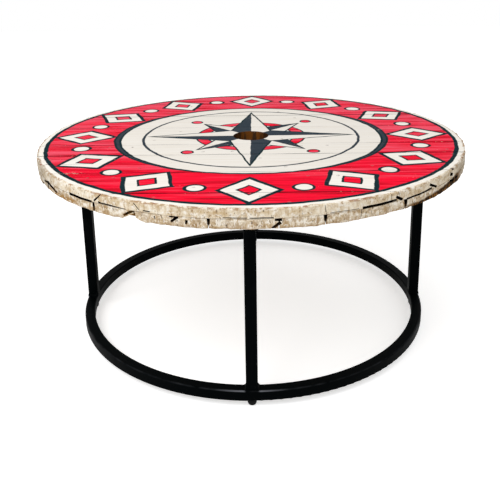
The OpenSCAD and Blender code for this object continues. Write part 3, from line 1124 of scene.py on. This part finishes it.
# %% Weld the legs to the rings
TUBE = 22.0 * MM
BEAD_SIDE = 4.0 * MM
BEAD_FACE = 0.5 * MM
BEAD_HEIGHT = 4.0 * MM
BEAD_SINK = 0.6 * MM
BEAD_CORNER = 2.6 * MM
BEAD_CUTS = 10
BEAD_RIPPLE = 1.1 * MM
BEAD_SMOOTH = radians(50)


def first_bead():
    """The bead at a leg's foot, round the origin, with its X along the table's radius."""
    width = TUBE + 2 * BEAD_SIDE
    bead = block("weld_model", (TUBE + 2 * BEAD_FACE, width, BEAD_HEIGHT))
    squeeze_points(bead, lambda co: co.z > 0, (1, (TUBE + BEAD_FACE) / width, 1), (0, 0, 0))
    pick(bead, "EDGE", lambda middle, along: abs(along.z) > BEAD_HEIGHT / 2)
    bpy.ops.mesh.bevel(offset=BEAD_CORNER / 2, segments=3, affect="EDGES")
    pick(bead, "FACE", lambda middle, normal: abs(normal.y) > 0.3 and abs(normal.z) > 0.3)
    bpy.ops.mesh.subdivide(number_cuts=BEAD_CUTS)
    done()
    weigh(bead, "slope", lambda co: abs(co.y) > TUBE / 2 + 0.5 * MM and abs(co.z) < BEAD_HEIGHT * 0.4)
    displace(bead, clouds("weld_ripples", 3.2, contrast=2.0), BEAD_RIPPLE, "NORMAL", "slope", 0.8)
    hold(bead)
    bpy.ops.object.shade_smooth_by_angle(angle=BEAD_SMOOTH)
    return bead


bead = first_bead()
welds = []
for side in ("right", "back", "left", "front"):
    low_corner, high_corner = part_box(f"leg_{side}")
    middle = (low_corner + high_corner) / 2
    for end, z, up in (("low", low_corner.z, 1), ("high", high_corner.z, -1)):
        hold(bead)
        bpy.ops.object.duplicate()
        weld = bpy.context.active_object
        weld.rotation_euler = (0 if up > 0 else pi, 0, atan2(middle.y, middle.x))
        weld.location = (middle.x, middle.y, z + (BEAD_HEIGHT / 2 - BEAD_SINK) * up)
        welds.append(settled(f"weld_{side}_{end}"))
        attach(welds[-1], "root")
bpy.data.objects.remove(bead)
print(len(welds), "welds of", len(welds[0].data.polygons), "faces")

# %% [markdown]
# The base is mild steel sprayed gloss black, a coat that keeps a slight orange peel. A grey line is
# painted along the floor ring's upper outer corner, most of all beside the legs: a painted highlight
# where the gloss would catch the light. The glides are moulded plastic, the screws are bright zinc,
# and the nails are rusty iron with what is left of the paint on their heads.

# %% Finish the steel, the glides, the screws and the nails
HIGHLIGHT_PAINT = paint(106, 108, 114)
HIGHLIGHT_EDGE = 2.2


def steel_finish():
    finish = Finish("black_spray_coat")
    peel = finish.noise(1.6, shift=3)
    handling = finish.noise((30, 30, 60), detail=3, shift=9)
    # Painted highlight: a grey line on the floor ring's upper outer corner, full beside each leg, none just
    # in front of it, and faint patches elsewhere.
    ring_side, _, ring_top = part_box("floor_ring")[1] / MM
    corner = span(finish.x, finish.y).past(ring_side - HIGHLIGHT_EDGE)
    corner = corner * finish.z.past(ring_top - HIGHLIGHT_EDGE) * finish.z.below(ring_top + 0.6, 0.4)
    from_leg = abs(finish.x).low(abs(finish.y))
    highlight_by_a_leg = from_leg.past(13, 4) * from_leg.below(44, 48)
    highlight_patches = finish.noise(30, detail=3, roughness=0.6, shift=19).past(0.52, 0.3)
    colour = finish.layers(
        paint(2, 4, 5),
        (handling.past(0.62, 0.1) * 0.5, paint(9, 11, 13)),
        (corner * (highlight_by_a_leg * 0.85 + highlight_patches * 0.1), HIGHLIGHT_PAINT))
    return finish.surface(colour, 0.36 + handling * 0.2, peel, 0.03, gloss=0.012)


def glide_finish():
    finish = Finish("black_glide_plastic")
    grain = finish.noise(0.6, detail=1)
    scuffs = finish.noise((2, 2, 1), shift=20)
    colour = finish.mix(scuffs.past(0.6, 0.1) * 0.5, paint(8, 9, 10), paint(24, 25, 25))
    return finish.surface(colour, 0.6 + scuffs * 0.2, grain, 0.03, gloss=0.1)


def screw_finish():
    finish = Finish("zinc_plate")
    dull = finish.noise(2.5, shift=2)
    colour = finish.mix(dull.past(0.5, 0.3), paint(188, 190, 192), paint(140, 142, 146))
    return finish.surface(colour, 0.3 + dull * 0.25, dull, 0.02, metallic=0.9)


def nail_finish():
    finish = Finish("rusty_nails_painted")
    top = weathered_top(finish)[0]
    rust = finish.noise(2.4, detail=3, roughness=0.7, shift=44)
    iron = finish.mix(rust.past(0.5, 0.25), paint(96, 58, 36), paint(50, 36, 28))
    left = finish.z.past(ply_high / MM - 0.8, 0.2) * finish.noise(5, shift=71).past(0.4, 0.1)
    return finish.surface(finish.mix(left * 0.8, iron, top), 0.7, rust, 0.15)

# %% Give every piece its finish
steel = steel_finish()
for weld in welds:
    dress(weld, steel)
for names, finish in ((("floor_ring", "upper_ring", "leg_", "mounting_tab_"), steel),
                      ("foot_", glide_finish()), ("tab_screws", screw_finish()),
                      ("clinched_nails", nail_finish())):
    for name, node in frame["nodes"].items():
        if name.startswith(names):
            node.material_slots[0].material = finish
